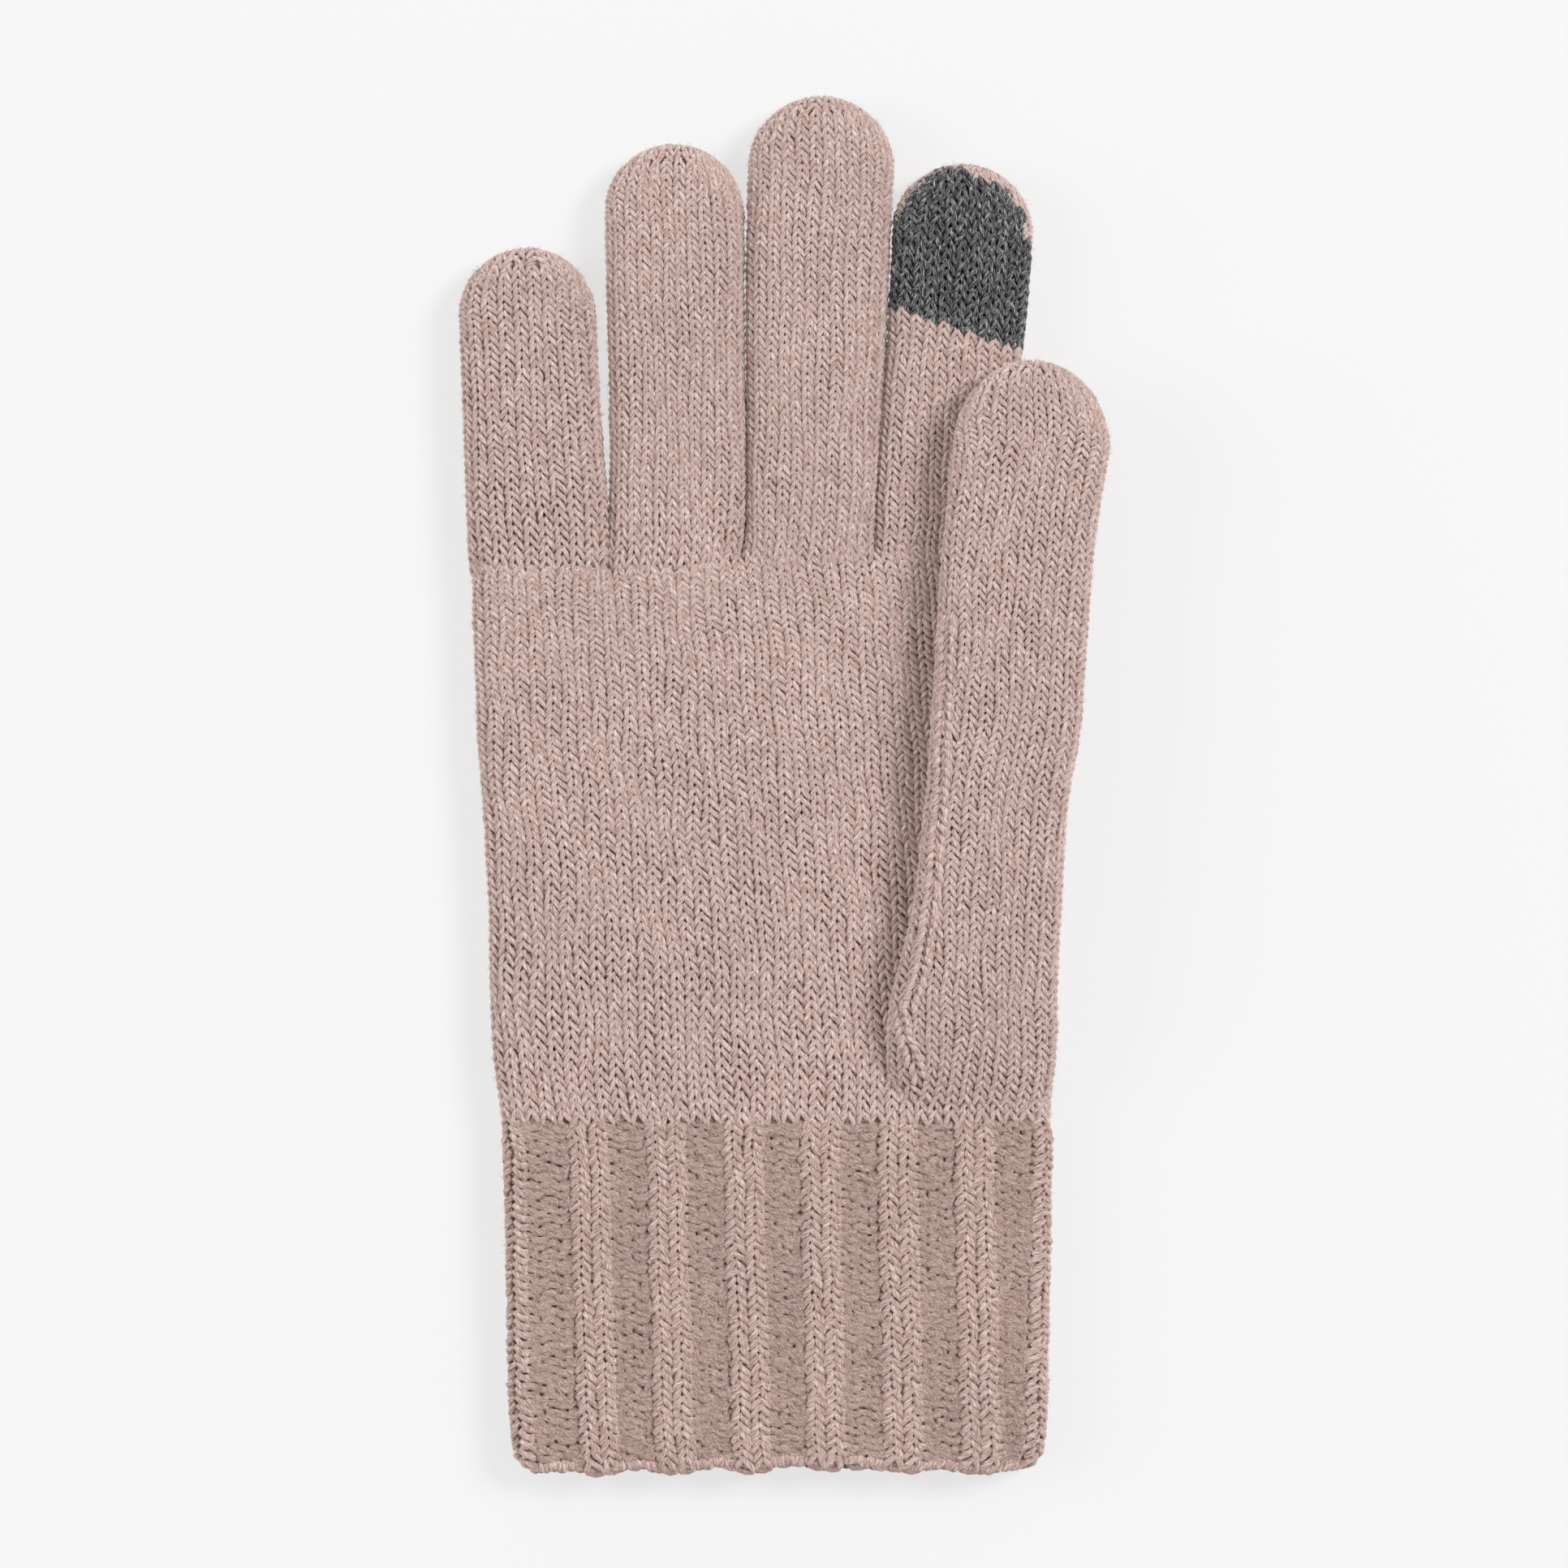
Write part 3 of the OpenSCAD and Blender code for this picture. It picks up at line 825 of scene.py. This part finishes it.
cuff_wob = Waves(14, 0.05), Waves(N_C, 0.12)
cuff_courses = []
for j in range(M_C + 1):
    # each rib is two knit wales, and each channel two purl wales
    ps, qs = rib_knots(j)
    b = np.interp(np.arange(N_C + 1) / 4, ps, qs)
    c = np.interp((np.arange(N_C) + 0.5) / 4, ps, qs)
    purl = np.isin(np.arange(N_C) % 4, (1, 2))
    lay = (cuff, j, np.stack([c] * 3), np.stack([b] * 3))
    knit = course(*lay, 1.5, 0.32, 0.5, 0.57, skew=0.03, purl=purl, lift=lambda q, jj: rib_lift(q, jj, j), wob=cuff_wob, rough=1.2)
    loose = course(*lay, 1.2, 0.24, 0.2, 0.72, purl=purl, lift=lambda q, jj: rib_lift(q, jj, j), wob=cuff_wob, rough=2.2)
    # the channels are looser and rougher than the ribs
    w = np.clip(np.convolve(np.repeat(purl, NS).astype(float), np.ones(5) / 5, mode="same"), 0, 1)
    for key in ("P", "r", "depth"):
        ww = w[:, None] if knit[key].ndim > 1 else w
        knit[key] = knit[key] * (1 - ww) + loose[key] * ww
    cuff_courses.append(knit)



# stitches in the channels, which get the darker channel material of painted shade
def in_channel(c):
    return np.isin(c["stitch"] % 4, (1, 2)) if c["j"] >= 0 else np.zeros(len(c["stitch"]), bool)


hem = course(cuff, -0.5, *layout_even(N_C * 2), 0.5, 0.1, 0.25, 0.68, rough=2.2, wob=(Waves(N_C, 0.2), Waves(20, 0.3)))
cuff_courses[0:0] = [hem]
# a straight course behind the palm's first one closes the step from 56 stitches to 75
cuff_courses.append(course(cuff, M_C + 0.4, *layout_even(N_C), 0.5, 0.1, 0.2, 0.5, rough=1.5, z_off=-0.25))
M_C += 1
cuts = [0, 10, 19, 28, 34, M_C + 2]
for n, (ja, jb) in enumerate(zip(cuts[:-1], cuts[1:])):
    shell = shell_mesh(cuff, ja - (0.5 if n == 0 else 1.5), min(jb - 1, M_C - 0.5), off=lambda q, jj: rib_lift(q, jj, jj) - 0.24)
    hairs = [fuzz(cuff_courses[ja:jb], 3.0), fuzz(cuff_courses[ja:jb], 12.0, keep=in_channel, length=1.6, r=0.036)]
    ob = make_piece(f"cuff_rib_knit_{n + 1}", cuff_courses[ja:jb], [shell], [RIB, ROSE_IN_PAINTED_SHADE, RIB_CHANNEL_PAINTED_SHADE, ROSE_FUZZ_PAINTED_LIGHT], extra=hairs, alt=in_channel)
    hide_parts("cuff_rib")
    if n >= 3:
        blend_y(ob, "palm", "cuff", -60.4, -74)
    else:
        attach(ob, "cuff")

# The thumb, which lies over the palm and sinks into it at its root
T_LEFT = table([(-60, 19.5), (-54, 18.3), (-42, 18.3), (-36, 19.8), (-24, 22.7), (-12.5, 24.2), (3.7, 25.7), (24, 27.1), (39, 27.9), (48, 29.0), (57, 29.6), (62, 30.2)])
T_RIGHT = table([(-60, 47.6), (-52, 49.2), (-43, 49.6), (-35, 49.4), (-26, 49.9), (-17, 50.4), (-8, 50.8), (0.7, 51.8), (9.6, 53.6), (18, 54.2), (27, 54.8), (36, 55.4), (45, 56.2), (54, 57.8), (62.5, 59.0)])
TC = lambda y: (T_LEFT(y) + T_RIGHT(y)) / 2
TA = lambda y: (T_RIGHT(y) - T_LEFT(y)) / 2
T_TOP = table([(-62, 7.2), (-58.5, 8.0), (-55, 9.8), (-50, 12.2), (-42, 14.6), (-34, 16.0), (-24, 16.9), (-12, 17.1), (80, 17.1)], smooth=3)
T_HM = 3.2
thumb = finger_surface(TC, TA, 76.4, 16.5, -57.0, 1.47, zc=lambda y: T_TOP(y) - T_HM, hm=T_HM, edge=6.0, lean=4.0)
thumb_courses = knit_finger(thumb, 12, gusset=True)


def shown_thumb(c):
    """Stitches of the thumb that aren't inside the palm."""
    n = c["stitch"].max() + 1
    P = c["P"].reshape(n, -1, 3)
    top = ZC + HM * bulge(palm_d(P[..., 0], P[..., 1]), 6.5)
    inside = (P[..., 2] < top - 0.9) & (P[..., 0] < RIGHT(P[..., 1]) + 0.6)
    return ~inside.all(1)


T_AX = math.radians(5.0)
T_PIV = np.array([35.701, -42.0])
T_DIR = np.array([math.sin(T_AX), math.cos(T_AX)])


def station(d):
    return T_PIV + T_DIR * d


def blend_thumb(ob):
    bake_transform(ob)


def j_at(surf, y):
    return min(range(surf.m + 1), key=lambda j: abs(float(surf.y_of(j)) - y))


def thumb_top(x, y):
    return T_TOP(y) - T_HM + T_HM * bulge(np.maximum(thumb.D(x, y), 0), 6.0)


# Two columns of large stitches follow the thumb's fold. They part at its root.
FOLD = [(29.6, 30), (29.2, 24), (28.7, 9.6), (28.0, -5.1), (26.9, -16.9), (25.7, -27.2), (24.3, -34.6), (22.2, -41.0)]
FORK = [(20.9, -40.5), (21.8, -45.5), (23.6, -50.5), (25.3, -55.0)]
fold_yarn = chain(FOLD, thumb_top) + chain(FORK, lambda x, y: np.maximum(thumb_top(x, y), 8.2))

t_cuts = [0] + [j_at(thumb, float(station(d)[1])) for d in (13, 36, 70.5)] + [thumb.m + 1]
t_parts = [("root", "palm", "thumb_root", -14, 11), ("base", "thumb_root", "thumb_base", 13.5, 29), ("mid", "thumb_base", "thumb_mid", 46, 61), ("tip", "thumb_mid", "thumb_tip", 80, 95)]
for n, (part, a, b, d0, d1) in enumerate(t_parts):
    ja, jb = t_cuts[n], t_cuts[n + 1]
    last = part == "tip"

    def outside(mid):
        top = ZC + HM * bulge(palm_d(mid[..., 0], mid[..., 1]), 6.5)
        return ~((mid[..., 2] < top - 1.2) & (mid[..., 0] < RIGHT(mid[..., 1]) + 0.4))

    shell = shell_mesh(thumb, ja - 0.5, thumb.m if last else jb, keep=outside)
    ya, yb = (-99 if n == 0 else float(thumb.y_of(ja))), (199 if last else float(thumb.y_of(jb)))
    mine = [e for e in fold_yarn if ya <= e[0][:, 1].mean() < yb]
    mine.append(fuzz(thumb_courses[ja:jb], 3.4, keep=lambda c: np.repeat(shown_thumb(c), NS)))
    if last:
        mine.append(closing(thumb))
    ob = make_piece(f"thumb_{part}_knit", thumb_courses[ja:jb], [shell], [ROSE, ROSE_IN_PAINTED_SHADE, ROSE, ROSE_FUZZ_PAINTED_LIGHT], pick=shown_thumb, extra=mine)
    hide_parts(f"thumb_{part}")
    blend_thumb(ob)

# ---------------------------------------------------------------- the set
bpy.ops.mesh.primitive_plane_add(size=30, location=(0, 0, 0))
floor = bpy.context.object
floor.name = "floor"
fm = bpy.data.materials.new("floor")
fm.use_nodes = True
fm.node_tree.nodes["Principled BSDF"].inputs["Base Color"].default_value = (0.25, 0.25, 0.25, 1)
fm.node_tree.nodes["Principled BSDF"].inputs["Emission Color"].default_value = (1, 1, 1, 1)
fm.node_tree.nodes["Principled BSDF"].inputs["Emission Strength"].default_value = 0.657
fm.node_tree.nodes["Principled BSDF"].inputs["Roughness"].default_value = 0.9
fm.node_tree.nodes["Principled BSDF"].inputs["Specular IOR Level"].default_value = 0.1
floor.data.materials.append(fm)

world = bpy.data.worlds.new("soft_studio")
scene.world = world
world.use_nodes = True
# a white cove: brightest at the height of the horizon
wn = world.node_tree
tc = wn.nodes.new("ShaderNodeTexCoord")
sp = wn.nodes.new("ShaderNodeSeparateXYZ")
wn.links.new(tc.outputs["Generated"], sp.inputs[0])
wr = wn.nodes.new("ShaderNodeMapRange")
wr.interpolation_type = "SMOOTHSTEP"
wr.inputs["From Min"].default_value = 0.08
wr.inputs["From Max"].default_value = 0.5
wr.inputs["To Min"].default_value = 0.79
wr.inputs["To Max"].default_value = 0.45
wn.links.new(sp.outputs["Z"], wr.inputs["Value"])
wn.links.new(wr.outputs[0], wn.nodes["Background"].inputs[0])
wn.nodes["Background"].inputs[1].default_value = 1.0


def lamp(name, loc, size, power):
    d = bpy.data.lights.new(name, "AREA")
    d.size = size
    d.energy = power
    o = bpy.data.objects.new(name, d)
    scene.collection.objects.link(o)
    o.location = loc
    o.visible_camera = False
    direction = -np.array(loc, float)
    from mathutils import Vector
    o.rotation_euler = Vector(direction).to_track_quat("-Z", "Y").to_euler()
    return o


lamp("key", (2.0, 1.0, 2.0), 1.0, 60.0)
lamp("fill", (-2.4, 0.2, 1.2), 1.6, 30.0)

cam_data = bpy.data.cameras.new("camera")
cam_data.lens = 135
cam_data.sensor_width = 36
cam_data.clip_end = 50
cam = bpy.data.objects.new("camera", cam_data)
scene.collection.objects.link(cam)
cam.location = (0.0, 0.0, 0.2841 * 135 / 36 + 0.006)
scene.camera = cam

print(sorted(STATS.items(), key=lambda kv: -kv[1])[:4])
print("faces", sum(STATS.values()), max(STATS.items(), key=lambda kv: kv[1]))
